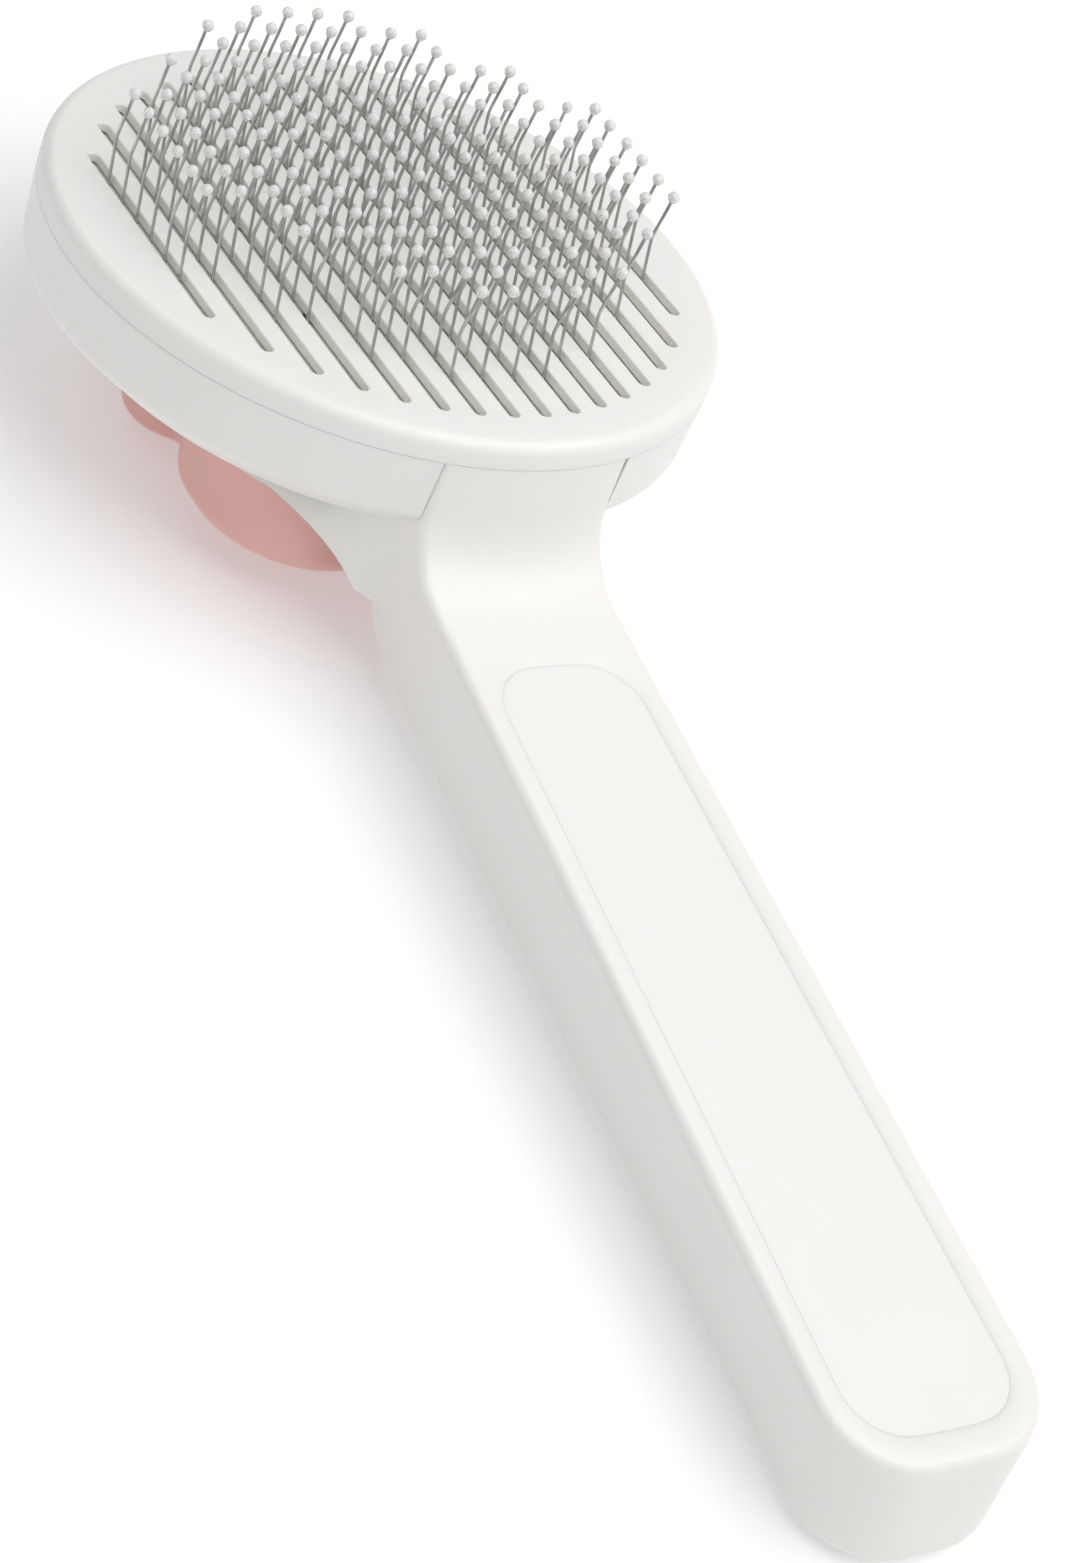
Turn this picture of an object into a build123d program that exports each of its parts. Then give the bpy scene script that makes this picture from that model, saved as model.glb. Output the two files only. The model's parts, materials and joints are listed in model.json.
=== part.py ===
from build123d import *
import math
import os

# Slicker brush with a push-off face plate.
# The parts are modelled in the head's frame: origin at the middle of the face plate's front, X to the
# right, Y away from the handle, Z the way the pins point. One placement then lays the whole brush on
# its back, on the tips of the paw button and the handle, with the origin under the middle of its box.
# All sizes are in millimetres.

# Head
HEAD_RADIUS = 39.0
RING_TOP = -3.15
RING_BOTTOM = -11.5
RING_BOTTOM_RADIUS = 38.5
RING_BORE_RADIUS = 36.8
RING_EDGE_ROUND = 1.6
SHELL_RIM_RADIUS = 36.75
SHELL_RIM_TOP = -4.2
SHELL_WALL = 1.8
SHELL_SHOULDER = -11.9
BACK_DEPTH = -18.0
BACK_FLAT_RADIUS = 22.0

# Face plate
FACE_SKIRT = 3.1
FACE_SKIN = 1.0
FACE_EDGE_ROUND = 1.4
FACE_POCKET_RADIUS = 36.0
SLOT_COUNT = 16
SLOT_PITCH = 4.0
SLOT_WIDTH = 1.4
SLOT_FIELD_RADIUS = 33.7
SLOT_EDGE_ROUND = 0.2

# Pins: each staple has two legs, one in each slot of a pair
ROW_PITCH = 3.65
ROW_OFFSET = -0.35
ROWS_BY_PAIR = [(-2, 3), (-4, 5), (-6, 7), (-7, 8)]
WIRE_RADIUS = 0.2
STAPLE_CROWN_Z = -4.45
STAPLE_CORNER = 0.5
BEND_HEIGHT = 4.5
BEND_RADIUS = 1.2
LEG_LEAN = 0.235
TIP_LEAN = -0.16
WIRE_TOP = 10.3
BALL_RADIUS = 0.70
BALL_HEIGHT = 10.4

# Pad and backing plate
PAD_TOP = -1.3
PAD_BOTTOM = -4.8
PAD_RADIUS = 34.0
PAD_EDGE_ROUND = 0.5
PAD_POST_CLEARANCE = 0.4
BACKING_BOTTOM = -6.5
BACKING_RADIUS = 34.8
BOSS_SPOTS = [(0.0, -31.6), (31.4, 0.0), (0.0, 31.6), (-31.4, 0.0)]
BOSS_RADIUS = 2.4
BOSS_END = -15.5
SCREW_LENGTH = 6.0
SCREW_HEAD_HEIGHT = 0.9
SCREW_SUNK = 0.05
SCREW_CLEARANCE = 0.1
SCREW_HEAD_CLEARANCE = 0.2
SCREW_CROSS = (2.2, 0.5, 0.8)
BACKING_SCREW_HEAD_RADIUS = 2.0
BACKING_SCREW_SHANK_RADIUS = 0.9
POST_SCREW_HEAD_RADIUS = 1.6
POST_SCREW_SHANK_RADIUS = 0.7

# Push-off carriage
PRESS_TRAVEL = 8.0
PRESS_STOP_CLEARANCE = 0.3
POST_RADIUS = 1.25
POST_BORE_CLEARANCE = 0.05
POST_SPOTS = [(-16.0, -14.0), (16.0, -14.0), (-16.0, 3.5), (16.0, 3.5)]
PUSHER_THICKNESS = 1.3
PUSHER_TOP = BACKING_BOTTOM - PRESS_TRAVEL - PRESS_STOP_CLEARANCE
PUSHER_BOTTOM = PUSHER_TOP - PUSHER_THICKNESS
PUSHER_LIP = 1.3
PUSHER_SEAT_GAP = 0.1
PUSHER_LIP_GAP = 0.4
POST_SCREW_HOLE_RADIUS = 0.75
BUTTON_BACK = -26.5
BUTTON_WALL = 1.8
BUTTON_EDGE_ROUND = 2.5
BUTTON_GAP = 0.35

# The paw: a wide heel pad towards the handle, a palm, and four toes; each circle is (x, y, radius)
HEEL_Y = -13.5
HEEL_SIZE = (47.2, 27.0)
HEEL_CORNER = 12.5
PALM_Y = 2.0
PALM_RADIUS = 11.5
SIDE_TOE = (17.6, 3.2, 6.4)
MIDDLE_TOE = (7.0, 12.4, 6.8)
TOE_NOTCH_ROUND = 1.6

# Return spring
SPRING_Y = -6.0
SPRING_RADIUS = 6.0
SPRING_WIRE = 0.8
SPRING_TURNS = 7
SPRING_END_GAP = 0.05
SPRING_SIDE_GAP = 0.6
SPRING_HOLE_GAP = 0.8
WELL_WALL = 1.2
SPIGOT_HEIGHT = 1.0
SPIGOT_GAP = 0.3

# Handle: S runs down the handle from its root, W is its half width
HANDLE_PITCH = 11.2
HANDLE_ROOT = (0.0, -40.0, -16.4)
HANDLE_HALF_WIDTH_ROOT = 11.8
HANDLE_WIDENING = 0.016
HANDLE_LENGTH = 107.9
HANDLE_END_BOW = 0.8
HANDLE_CORNER = 9.5
HANDLE_DEPTH = 15.0
HANDLE_SIDE_DRAFT = 2.3
HANDLE_END_OVERRUN = 4.6
HANDLE_BACK_PITCH = 10.0
HANDLE_BACK_MEETS = 70.0
HANDLE_BACK_ROUND = 3.0
HANDLE_FRONT_ROUND = 1.2
NECK_FRONT_ROUND = 8.5
NECK_SEAM = 0.03
NECK_SHOULDER_RADIUS = 16.0
NECK_SHOULDER_Y = -27.5
HANDLE_SLAB_START = -18.0
# The neck's flare under the head: height, half width and where it meets the round back
FLARE_SECTIONS = [(-11.5, 28.5, -22.5), (-15.0, 22.5, -25.6), (-19.0, 17.0, -28.2), (-24.0, 12.6, -31.5)]
FLARE_ROOT = (10.6, -39.0)

# Handle cover, let into the front of the handle
COVER_INSET = 3.3
COVER_START = 12.0
COVER_END = 104.3
COVER_CORNER = 6.2
COVER_THICKNESS = 1.8
COVER_GAP = 0.02
COVER_SUNK = 0.35
COVER_LEDGE = 1.3
OPENING_SLOPE = 0.8

# The space inside the handle
HANDLE_WALL = 2.2
HOLLOW_START = 4.0
HOLLOW_CORNER = 6.0
HOLLOW_ROOT_CORNER = 3.0
HOLLOW_END_WALL = 2.8
LEDGE_THICKNESS = 1.6
LEDGE_CORNER = 4.7

SIN_PITCH = math.sin(math.radians(HANDLE_PITCH))
COS_PITCH = math.cos(math.radians(HANDLE_PITCH))
HANDLE_PLANE = Plane(origin=HANDLE_ROOT, x_dir=(1, 0, 0), z_dir=(0, -SIN_PITCH, COS_PITCH))


# ---- small helpers -------------------------------------------------------------------------------


def cylinder_between(radius, z_low, z_high, x=0.0, y=0.0):
    """A cylinder along Z between two heights."""
    return Pos(x, y, (z_low + z_high) / 2) * Cylinder(radius, z_high - z_low)


def slot_x(index):
    """The middle of a slot, counted from 0 at the left."""
    return (index - (SLOT_COUNT - 1) / 2) * SLOT_PITCH


def row_y(row):
    """Where the pins of a row pass the front of the face plate."""
    return ROW_OFFSET + ROW_PITCH * row


def pair_rows(pair):
    """The rows that a pair of slots holds: the field is stepped to follow the round head."""
    from_edge = min(pair, SLOT_COUNT // 2 - 1 - pair)
    low, high = ROWS_BY_PAIR[from_edge]
    return range(low, high + 1)


# ---- head ----------------------------------------------------------------------------------------


def make_face_plate():
    """The round plate that pushes hair off: sixteen long slots, hollow behind, with a skirt."""
    plate = cylinder_between(HEAD_RADIUS, -FACE_SKIRT, 0.0)
    plate = fillet(plate.edges().group_by(Axis.Z)[-1], FACE_EDGE_ROUND)
    plate -= cylinder_between(FACE_POCKET_RADIUS, -FACE_SKIRT, -FACE_SKIN)
    for index in range(SLOT_COUNT):
        x = slot_x(index)
        half = math.sqrt(SLOT_FIELD_RADIUS**2 - x**2)
        slot = Pos(x, 0) * Rot(0, 0, 90) * SlotOverall(2 * half, SLOT_WIDTH)
        plate -= Pos(0, 0, -2 * FACE_SKIN) * extrude(slot, 4 * FACE_SKIN)
    front_edges = plate.edges().filter_by_position(Axis.Z, -0.01, 0.01)
    slot_edges = front_edges.filter_by(lambda edge: edge.length < HEAD_RADIUS * 2)
    return fillet(slot_edges, SLOT_EDGE_ROUND)


def neck_tongue_space(clearance):
    """The column that the neck fills in the head's ring."""
    width = 2 * (HANDLE_HALF_WIDTH_ROOT + clearance)
    return Pos(0, -HEAD_RADIUS, -10) * Box(width, 20, 40)


def make_head_ring():
    """The wall of the head: a slightly tapered ring, rounded at its lower edge, open at the neck."""
    outer = Plane.XZ * make_face(
        Polyline(
            (RING_BORE_RADIUS, RING_TOP),
            (HEAD_RADIUS, RING_TOP),
            (RING_BOTTOM_RADIUS, RING_BOTTOM),
            (RING_BORE_RADIUS, RING_BOTTOM),
            close=True,
        )
    )
    ring = revolve(outer, Axis.Z)
    lower_edges = ring.edges().group_by(Axis.Z)[0].sort_by(SortBy.LENGTH)
    ring = fillet(lower_edges[-1], RING_EDGE_ROUND)
    return ring - neck_tongue_space(NECK_SEAM)


def dome_profile(inset, top):
    """Half of the shell's round back, as a face on XZ: flat in the middle, then one arc to the rim."""
    rim = SHELL_RIM_RADIUS - inset
    rise = SHELL_SHOULDER - BACK_DEPTH
    run = SHELL_RIM_RADIUS - BACK_FLAT_RADIUS
    arc_radius = (run**2 + rise**2) / (2 * rise) - inset
    back = BACK_DEPTH + inset

    def on_arc(radius):
        out = radius - BACK_FLAT_RADIUS
        return (radius, back + arc_radius - math.sqrt(arc_radius**2 - out**2))

    flat_end = on_arc(BACK_FLAT_RADIUS)
    shoulder = on_arc(rim)
    outline = Line((0, back), flat_end)
    outline += ThreePointArc(flat_end, on_arc((BACK_FLAT_RADIUS + rim) / 2), shoulder)
    outline += Polyline(shoulder, (rim, top), (0, top), (0, back))
    return Plane.XZ * make_face(outline)


def cross_headed_screw(x, y, head_face, head_radius, shank_radius, up):
    """A screw whose head's face lies at head_face; up is 1 for a shank above the head, -1 for one below."""
    head_base = head_face + up * SCREW_HEAD_HEIGHT
    shank_end = head_base + up * SCREW_LENGTH
    screw = cylinder_between(head_radius, *sorted((head_face, head_base)), x, y)
    screw += cylinder_between(shank_radius, *sorted((head_base, shank_end)), x, y)
    across, thin, deep = SCREW_CROSS
    cross = Box(across, thin, deep) + Box(thin, across, deep)
    return screw - Pos(x, y, head_face) * cross


def make_backing_plate():
    """The fixed plate behind the pad: guides the four posts and seats the spring."""
    plate = cylinder_between(BACKING_RADIUS, BACKING_BOTTOM, PAD_BOTTOM)
    for x, y in POST_SPOTS:
        plate -= cylinder_between(POST_RADIUS + POST_BORE_CLEARANCE, -10, 0, x, y)
    head_floor = PAD_BOTTOM - SCREW_SUNK - SCREW_HEAD_HEIGHT
    for x, y in BOSS_SPOTS:
        plate -= cylinder_between(BACKING_SCREW_SHANK_RADIUS + SCREW_CLEARANCE, -10, 0, x, y)
        plate -= cylinder_between(BACKING_SCREW_HEAD_RADIUS + SCREW_HEAD_CLEARANCE, head_floor, 0, x, y)
    spigot_radius = SPRING_RADIUS - SPRING_WIRE - SPIGOT_GAP
    spigot_end = BACKING_BOTTOM - SPIGOT_HEIGHT
    return plate + cylinder_between(spigot_radius, spigot_end, BACKING_BOTTOM, 0, SPRING_Y)


def make_backing_screws():
    """Four screws that hold the backing plate to the shell's bosses."""
    face = PAD_BOTTOM - SCREW_SUNK
    radii = (BACKING_SCREW_HEAD_RADIUS, BACKING_SCREW_SHANK_RADIUS)
    return Compound(children=[cross_headed_screw(x, y, face, *radii, -1) for x, y in BOSS_SPOTS])


def make_needle_pad():
    """The soft pad that the staples are set in."""
    pad = cylinder_between(PAD_RADIUS, PAD_BOTTOM, PAD_TOP)
    pad = fillet(pad.edges().group_by(Axis.Z)[-1], PAD_EDGE_ROUND)
    for x, y in POST_SPOTS:
        pad -= cylinder_between(POST_RADIUS + PAD_POST_CLEARANCE, -10, 0, x, y)
    return pad


# ---- pins ----------------------------------------------------------------------------------------


def leg_point(z, x):
    """A point of a leg at height z: it leans one way up to the bend, and the other way above it."""
    lower = min(z, BEND_HEIGHT) * LEG_LEAN
    upper = max(z - BEND_HEIGHT, 0.0) * TIP_LEAN
    return (x, lower + upper, z)


def make_staple():
    """One U-shaped wire with bent legs, half a slot pitch to each side of its middle."""
    half = SLOT_PITCH / 2
    points = [
        leg_point(WIRE_TOP, -half),
        leg_point(BEND_HEIGHT, -half),
        leg_point(STAPLE_CROWN_Z, -half),
        leg_point(STAPLE_CROWN_Z, half),
        leg_point(BEND_HEIGHT, half),
        leg_point(WIRE_TOP, half),
    ]
    radii = [BEND_RADIUS, STAPLE_CORNER, STAPLE_CORNER, BEND_RADIUS]
    path = FilletPolyline(*points, radius=radii)
    start = Plane(origin=path @ 0, z_dir=path % 0)
    return sweep(start * Circle(WIRE_RADIUS), path=path)


def pair_x(pair):
    """The middle between the two slots of a pair."""
    return (slot_x(2 * pair) + slot_x(2 * pair + 1)) / 2


def make_staple_column(staple, pair):
    """All the staples of one pair of slots."""
    x = pair_x(pair)
    return Compound(children=[Pos(x, row_y(row), 0) * staple for row in pair_rows(pair)])


def make_tip_column(pair):
    """The round tips of one pair of slots, moulded over the ends of the wires."""
    tips = []
    for row in pair_rows(pair):
        for side in (-1, 1):
            x, lean, z = leg_point(BALL_HEIGHT, pair_x(pair) + side * SLOT_PITCH / 2)
            tips.append(Pos(x, row_y(row) + lean, z) * Sphere(BALL_RADIUS))
    return Compound(children=tips)


# ---- push-off carriage ---------------------------------------------------------------------------


def paw_outline():
    """A paw: the heel pad, the palm and four toes, joined in one outline with rounded notches."""
    heel = Pos(0, HEEL_Y) * RectangleRounded(*HEEL_SIZE, HEEL_CORNER)
    outline = heel + Pos(0, PALM_Y) * Circle(PALM_RADIUS)
    for x, y, radius in (SIDE_TOE, MIDDLE_TOE):
        for side in (-1, 1):
            outline += Pos(side * x, y) * Circle(radius)
    grown = offset(outline, TOE_NOTCH_ROUND, kind=Kind.ARC)
    return offset(grown, -TOE_NOTCH_ROUND, kind=Kind.ARC)


def make_paw_button():
    """The hollow paw-shaped button, with a well that holds the spring."""
    outer = Pos(0, 0, BUTTON_BACK) * extrude(paw_outline(), PUSHER_BOTTOM - BUTTON_BACK)
    outer = fillet(outer.edges().group_by(Axis.Z)[0], BUTTON_EDGE_ROUND)
    inner_outline = offset(paw_outline(), -BUTTON_WALL, kind=Kind.ARC)
    floor = BUTTON_BACK + BUTTON_WALL
    button = outer - Pos(0, 0, floor) * extrude(inner_outline, PUSHER_BOTTOM - floor)
    well_bore = SPRING_RADIUS + SPRING_SIDE_GAP
    well = cylinder_between(well_bore + WELL_WALL, floor, PUSHER_BOTTOM, 0, SPRING_Y)
    well -= cylinder_between(well_bore, floor, PUSHER_BOTTOM, 0, SPRING_Y)
    return button + well


def make_pusher_plate():
    """The flat plate that closes the button, keeps it in the shell and carries the posts."""
    outline = offset(paw_outline(), PUSHER_LIP, kind=Kind.ARC)
    plate = Pos(0, 0, PUSHER_BOTTOM) * extrude(outline, PUSHER_THICKNESS)
    plate -= cylinder_between(SPRING_RADIUS + SPRING_HOLE_GAP, -20, -10, 0, SPRING_Y)
    for x, y in POST_SPOTS:
        plate -= cylinder_between(POST_SCREW_HOLE_RADIUS, -20, -10, x, y)
    return plate


def make_guide_post(x, y):
    """One post between the pusher plate and the face plate, tapped for its screw."""
    post = cylinder_between(POST_RADIUS, PUSHER_TOP, -FACE_SKIN, x, y)
    return post - cylinder_between(POST_SCREW_SHANK_RADIUS, PUSHER_TOP, PUSHER_TOP + SCREW_LENGTH, x, y)


def make_post_screws():
    """Four screws through the pusher plate into the posts."""
    face = PUSHER_BOTTOM - SCREW_HEAD_HEIGHT
    radii = (POST_SCREW_HEAD_RADIUS, POST_SCREW_SHANK_RADIUS)
    return Compound(children=[cross_headed_screw(x, y, face, *radii, 1) for x, y in POST_SPOTS])


def make_return_spring():
    """A helical compression spring between the button's floor and the backing plate."""
    low = BUTTON_BACK + BUTTON_WALL + SPRING_WIRE / 2 + SPRING_END_GAP
    high = BACKING_BOTTOM - SPRING_WIRE / 2 - SPRING_END_GAP
    radius = SPRING_RADIUS - SPRING_WIRE / 2
    helix = Helix(pitch=(high - low) / SPRING_TURNS, height=high - low, radius=radius)
    section = Plane(origin=helix @ 0, z_dir=helix % 0) * Circle(SPRING_WIRE / 2)
    return Pos(0, SPRING_Y, low) * sweep(section, path=helix, is_frenet=True)


# ---- handle and shell ----------------------------------------------------------------------------


def handle_half_width(s):
    """Half of the handle's width at a distance s from its root."""
    return HANDLE_HALF_WIDTH_ROOT + HANDLE_WIDENING * s


def handle_outline(start, end, side_inset, corner, root_corner=0.0):
    """The handle's outline on its own plane, from s = start to s = end, with a bowed round end."""
    near = handle_half_width(start) - side_inset
    far = handle_half_width(end) - side_inset
    edges = Line((-near, -start), (-far, -end))
    edges += ThreePointArc((-far, -end), (0, -end - HANDLE_END_BOW), (far, -end))
    edges += Line((far, -end), (near, -start))
    edges += Line((near, -start), (-near, -start))
    face = make_face(edges)
    face = fillet(face.vertices().sort_by(Axis.Y)[:2], corner)
    if root_corner:
        face = fillet(face.vertices().sort_by(Axis.Y)[-2:], root_corner)
    return face


def handle_slab(start, top, bottom, side_inset, end_inset, corner, root_corner=0.0):
    """A slab between two depths below the handle's front plane, narrowing with the depth."""
    faces = []
    for depth in (top, bottom):
        share = depth / HANDLE_DEPTH
        end = HANDLE_LENGTH + HANDLE_END_OVERRUN * share - end_inset
        inset = side_inset + HANDLE_SIDE_DRAFT * share
        outline = handle_outline(start, end, inset, corner, root_corner)
        faces.append(HANDLE_PLANE * Pos(0, 0, -depth) * outline)
    return loft(faces, ruled=True)


def front_skin():
    """Everything behind the brush's front: the head's cylinder, the handle's plane and a round between."""
    block = HANDLE_PLANE * Pos(0, -65, -30) * Box(44, 170, 60)
    column = cylinder_between(HEAD_RADIUS, -60, RING_TOP)
    skin = block + column
    meeting = skin.edges().filter_by(lambda edge: edge.geom_type == GeomType.ELLIPSE)
    return fillet(meeting, NECK_FRONT_ROUND)


def back_plane_height(y):
    """The height of the handle's back plane, which is HANDLE_DEPTH behind the front at one place."""
    middle = HANDLE_PLANE.from_local_coords(Vector(0, -HANDLE_BACK_MEETS, -HANDLE_DEPTH))
    return middle.Z + (y - middle.Y) * math.tan(math.radians(HANDLE_BACK_PITCH))


def back_skin():
    """Everything in front of the brush's back: the handle's back plane, rounded up into the head."""
    corner_z = back_plane_height(NECK_SHOULDER_Y)
    far_y = -200.0
    back = [(far_y, back_plane_height(far_y)), (NECK_SHOULDER_Y, corner_z)]
    profile = make_face(Plane.YZ * Polyline((far_y, 20), *back, (NECK_SHOULDER_Y, 20), close=True))
    solid = Pos(-40, 0, 0) * extrude(profile, 80, dir=(1, 0, 0))
    shoulder = solid.edges().filter_by(Axis.X).sort_by_distance((0, NECK_SHOULDER_Y, corner_z))[0]
    return fillet(shoulder, NECK_SHOULDER_RADIUS)


def depth_below_front(point):
    """How far a point lies behind the handle's front plane."""
    return -HANDLE_PLANE.to_local_coords(point).Z


def is_back_edge(edge):
    """True for the edges round the handle's back, but not for the seam across it."""
    return depth_below_front(edge.center()) > 0.6 * HANDLE_DEPTH and edge.geom_type != GeomType.LINE


def is_handle_front_edge(edge):
    """True for the edges round the handle's front."""
    middle = edge.center()
    return abs(depth_below_front(middle)) < 0.5 and middle.Y < -60


def is_neck_front_edge(edge):
    """True for the two edges that climb from the handle's front up to the ring."""
    middle = edge.center()
    on_side = abs(middle.X) > 11.0
    curved = -45 < middle.Y < -38 and middle.Z > -16.5 and edge.geom_type != GeomType.LINE and edge.length > 6
    upright = -38 < middle.Y < -36.5 and middle.Z > -8
    return on_side and (curved or upright)


def neck_and_handle():
    """The outer form of the neck and handle, drafted towards the back, with rounded edges."""
    below = handle_slab(HANDLE_SLAB_START, 0.0, HANDLE_DEPTH + 8.0, 0.0, 0.0, HANDLE_CORNER)
    above = HANDLE_PLANE * handle_outline(HANDLE_SLAB_START, HANDLE_LENGTH, 0.0, HANDLE_CORNER)
    side = below + extrude(above, 30, dir=(0, 0, 1))
    form = side & front_skin() & back_skin()
    form = fillet(form.edges().filter_by(is_handle_front_edge), HANDLE_FRONT_ROUND)
    form = fillet(form.edges().filter_by(is_neck_front_edge), HANDLE_FRONT_ROUND)
    return fillet(form.edges().filter_by(is_back_edge), HANDLE_BACK_ROUND)


def flare_section(z, half_width, y):
    """One level of the flare: from the neck's sides, two hollow arcs spread out under the head."""
    root_x, root_y = FLARE_ROOT
    middle_x = root_x + 0.22 * (half_width - root_x)
    middle_y = root_y + 0.60 * (y - root_y)
    edges = Line((-half_width, y), (half_width, y))
    edges += ThreePointArc((half_width, y), (middle_x, middle_y), (root_x, root_y))
    edges += Line((root_x, root_y), (-root_x, root_y))
    edges += ThreePointArc((-root_x, root_y), (-middle_x, middle_y), (-half_width, y))
    return Pos(0, 0, z) * make_face(edges)


def neck_flare():
    """The flare that carries the neck out to the round back of the head, trimmed at the neck's front."""
    return loft([flare_section(*section) for section in FLARE_SECTIONS]) & front_skin()


def handle_hollow():
    """The space inside the handle: a wide box below the cover's ledge, and the opening above it."""
    deep = HANDLE_DEPTH - HANDLE_WALL
    ledge = COVER_THICKNESS + COVER_SUNK + LEDGE_THICKNESS
    box = handle_slab(
        HOLLOW_START, ledge, deep, HANDLE_WALL, HOLLOW_END_WALL, HOLLOW_CORNER, HOLLOW_ROOT_CORNER
    )
    inset = COVER_INSET + COVER_LEDGE
    start = COVER_START + COVER_LEDGE
    end_inset = HANDLE_LENGTH - COVER_END + COVER_LEDGE
    return box + handle_slab(start, 0.0, ledge + 1.0, inset, end_inset, LEDGE_CORNER, LEDGE_CORNER)


def cover_outline(grown):
    """The handle cover's outline, let out by a distance."""
    outline = handle_outline(COVER_START, COVER_END, COVER_INSET, COVER_CORNER, COVER_CORNER)
    return offset(outline, grown, kind=Kind.ARC) if grown else outline


def make_handle_cover():
    """The cover that closes the handle's front, let in a little below the rim."""
    bottom = COVER_SUNK + COVER_THICKNESS
    return HANDLE_PLANE * Pos(0, 0, -bottom) * extrude(cover_outline(0.0), COVER_THICKNESS)


def cover_opening():
    """The seat for the cover: straight walls round it, and a soft slope up to the handle's front."""
    bottom = COVER_SUNK + COVER_THICKNESS
    seat = HANDLE_PLANE * Pos(0, 0, -bottom) * extrude(cover_outline(COVER_GAP), bottom)
    low = HANDLE_PLANE * Pos(0, 0, -COVER_SUNK) * cover_outline(COVER_GAP)
    high = HANDLE_PLANE * Pos(0, 0, 0.01) * cover_outline(OPENING_SLOPE)
    return seat + loft([low, high], ruled=True)


def make_body_shell():
    """The one moulding that is handle, neck and the round back of the head."""
    shell = revolve(dome_profile(0.0, SHELL_RIM_TOP), Axis.Z) + neck_and_handle() + neck_flare()
    shell -= revolve(dome_profile(SHELL_WALL, 0.0), Axis.Z)
    shell -= handle_hollow()
    shell -= cover_opening()
    flange = offset(paw_outline(), PUSHER_LIP + PUSHER_LIP_GAP, kind=Kind.ARC)
    shell -= Pos(0, 0, PUSHER_BOTTOM - PUSHER_SEAT_GAP) * extrude(flange, 12)
    opening = offset(paw_outline(), BUTTON_GAP, kind=Kind.ARC)
    shell -= Pos(0, 0, -30) * extrude(opening, 20)
    for x, y in BOSS_SPOTS:
        boss = cylinder_between(BOSS_RADIUS, BOSS_END, BACKING_BOTTOM, x, y)
        shell += boss & revolve(dome_profile(SHELL_WALL / 2, 0.0), Axis.Z)
        shell -= cylinder_between(BACKING_SCREW_SHANK_RADIUS, BACKING_BOTTOM - SCREW_LENGTH, 0, x, y)
    return shell


# ---- the whole brush -----------------------------------------------------------------------------


def make_parts():
    """Every piece by name, in the head's frame."""
    parts = {
        "body_shell": make_body_shell(),
        "handle_cover": make_handle_cover(),
        "head_ring": make_head_ring(),
        "backing_plate": make_backing_plate(),
        "backing_screws": make_backing_screws(),
        "needle_pad": make_needle_pad(),
        "return_spring": make_return_spring(),
        "face_plate": make_face_plate(),
        "pusher_plate": make_pusher_plate(),
        "paw_button": make_paw_button(),
        "post_screws": make_post_screws(),
    }
    for number, (x, y) in enumerate(POST_SPOTS, start=1):
        parts[f"guide_post_{number}"] = make_guide_post(x, y)
    staple = make_staple()
    for pair in range(SLOT_COUNT // 2):
        parts[f"pin_staples_{pair + 1}"] = make_staple_column(staple, pair)
        parts[f"pin_tips_{pair + 1}"] = make_tip_column(pair)
    return parts


def resting_tilt():
    """The turn about X, in degrees, that lays the brush on the paw's toes and the handle's end."""
    toe_y = MIDDLE_TOE[1] + MIDDLE_TOE[2] - BUTTON_EDGE_ROUND
    toe_z = BUTTON_BACK + BUTTON_EDGE_ROUND
    taper = math.tan(math.radians(HANDLE_PITCH - HANDLE_BACK_PITCH))
    depth = HANDLE_DEPTH - (HANDLE_LENGTH - HANDLE_BACK_MEETS) * taper
    overrun = HANDLE_END_OVERRUN * depth / HANDLE_DEPTH
    end_s = HANDLE_LENGTH + HANDLE_END_BOW + overrun - HANDLE_BACK_ROUND
    end = HANDLE_PLANE.from_local_coords(Vector(0, -end_s, HANDLE_BACK_ROUND - depth))
    reach = math.hypot(toe_y - end.Y, toe_z - end.Z)
    rounds = math.asin((HANDLE_BACK_ROUND - BUTTON_EDGE_ROUND) / reach)
    return -math.degrees(math.atan2(toe_z - end.Z, toe_y - end.Y) + rounds)


def place_on_back(parts):
    """Turns the parts to lie on their back and puts the origin under the middle of their box."""
    tilt = Rot(resting_tilt(), 0, 0)
    turned = {name: tilt * part for name, part in parts.items()}
    boxes = [part.bounding_box() for part in turned.values()]
    left = min(box.min.X for box in boxes)
    right = max(box.max.X for box in boxes)
    near = min(box.min.Y for box in boxes)
    far = max(box.max.Y for box in boxes)
    low = min(box.min.Z for box in boxes)
    shift = Pos(-(left + right) / 2, -(near + far) / 2, -low)
    print("tilt about X, degrees:", round(resting_tilt(), 4))
    print("shift:", [round(value, 4) for value in shift.position])
    return {name: shift * part for name, part in turned.items()}


def main():
    os.makedirs("parts", exist_ok=True)
    for name, part in place_on_back(make_parts()).items():
        export_step(part, f"parts/{name}.step")
        print(name, round(part.volume, 1))


if __name__ == "__main__":
    main()
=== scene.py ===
"""A slicker brush with a push-off face plate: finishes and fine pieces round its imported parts.

Lengths are millimetres in the head's own frame (origin at the middle of the face plate's front, X to
the right, Y away from the handle, Z the way the pins point) until HeadFrame turns them into metres.
"""

import json
import logging
import math
from dataclasses import dataclass, field
from enum import Enum

import bmesh
import bpy
import numpy as np
from mathutils import Matrix, Vector


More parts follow.
